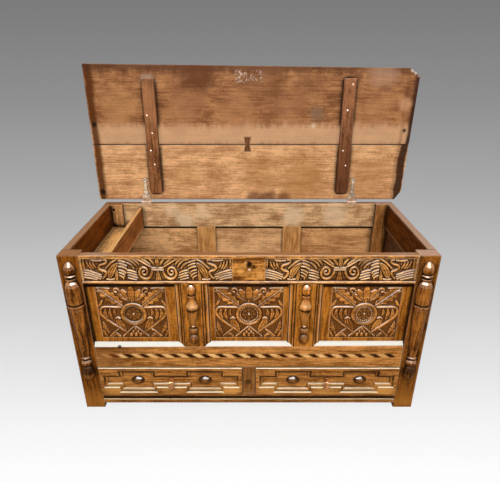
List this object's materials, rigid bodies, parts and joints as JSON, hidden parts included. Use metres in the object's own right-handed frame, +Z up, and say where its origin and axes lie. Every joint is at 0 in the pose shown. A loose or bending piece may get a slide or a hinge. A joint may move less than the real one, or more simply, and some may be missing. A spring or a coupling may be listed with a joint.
{
  "type": "mule chest",
  "caption": "Joined oak chest on post feet with a lift lid, an inner till, a panelled front with split turnings, and moulded drawers side by side below the chest.",
  "frame": {"origin": "on the floor at the middle of the whole object's box, with the lid standing open", "axes": "+X along the chest to the viewer's right, the front faces -Y, +Z up"},
  "size_m": [1.4596, 0.6688, 1.3254],
  "materials": {
    "polished_oak": "waxed, worn",
    "dry_oak": "bare, dry",
    "dark_oak": "dark stain, waxed",
    "pale_iron": "worn pale paint on iron",
    "old_brass": "tarnished"
  },
  "bodies": {
    "case": {"front_left_post": "polished_oak", "front_right_post": "polished_oak", "back_left_post": "polished_oak", "back_right_post": "polished_oak", "frieze_rail": "polished_oak", "front_mid_rail": "polished_oak", "front_bottom_rail": "polished_oak", "front_left_muntin": "polished_oak", "front_right_muntin": "polished_oak", "front_left_panel": "polished_oak", "front_middle_panel": "polished_oak", "front_right_panel": "polished_oak", "drawer_divider": "polished_oak", "left_end_top_rail": "polished_oak", "right_end_top_rail": "polished_oak", "left_end_lower_board": "polished_oak", "right_end_lower_board": "polished_oak", "left_end_panel": "polished_oak", "right_end_panel": "polished_oak", "back_top_rail": "dry_oak", "back_lower_board": "dry_oak", "back_left_muntin": "dry_oak", "back_right_muntin": "dry_oak", "back_left_panel": "dry_oak", "back_middle_panel": "dry_oak", "back_right_panel": "dry_oak", "chest_floor": "dry_oak", "till_wall": "dry_oak", "till_floor": "dry_oak", "left_post_baluster": "dark_oak", "right_post_baluster": "dark_oak", "left_muntin_baluster": "dark_oak", "right_muntin_baluster": "dark_oak", "left_drawer_runner": "dry_oak", "centre_drawer_runner": "dry_oak", "right_drawer_runner": "dry_oak", "left_hinge_leaf": "pale_iron", "right_hinge_leaf": "pale_iron"},
    "lid": {"lid_rear_board": "dry_oak", "lid_front_board": "dry_oak", "left_lid_batten": "dark_oak", "right_lid_batten": "dark_oak", "butterfly_key": "dark_oak", "left_hinge_strap": "pale_iron", "right_hinge_strap": "pale_iron"},
    "left_drawer": {"left_drawer_front": "polished_oak", "left_drawer_left_side": "dry_oak", "left_drawer_right_side": "dry_oak", "left_drawer_back": "dry_oak", "left_drawer_bottom": "dry_oak", "left_drop_mount": "old_brass"},
    "left_drop": {"left_drop": "old_brass"},
    "right_drawer": {"right_drawer_front": "polished_oak", "right_drawer_left_side": "dry_oak", "right_drawer_right_side": "dry_oak", "right_drawer_back": "dry_oak", "right_drawer_bottom": "dry_oak", "right_drop_mount": "old_brass"},
    "right_drop": {"right_drop": "old_brass"}
  },
  "joints": [
    {"name": "lid_close", "type": "hinge", "parent": "case", "child": "lid", "pos_m": [-0.0118, 0.28856, 0.71], "axis": [1, 0, 0], "range_deg": [0, 92]},
    {"name": "left_drawer_pull", "type": "slide", "parent": "case", "child": "left_drawer", "axis": [0, -1, 0], "range_m": [0, 0.4]},
    {"name": "right_drawer_pull", "type": "slide", "parent": "case", "child": "right_drawer", "axis": [0, -1, 0], "range_m": [0, 0.4]},
    {"name": "left_drop_swing", "type": "hinge", "parent": "left_drawer", "child": "left_drop", "pos_m": [-0.32855, -0.31794, 0.14415], "axis": [-1, 0, 0], "range_deg": [0, 80]},
    {"name": "right_drop_swing", "type": "hinge", "parent": "right_drawer", "child": "right_drop", "pos_m": [0.30495, -0.31794, 0.14415], "axis": [-1, 0, 0], "range_deg": [0, 80]}
  ]
}
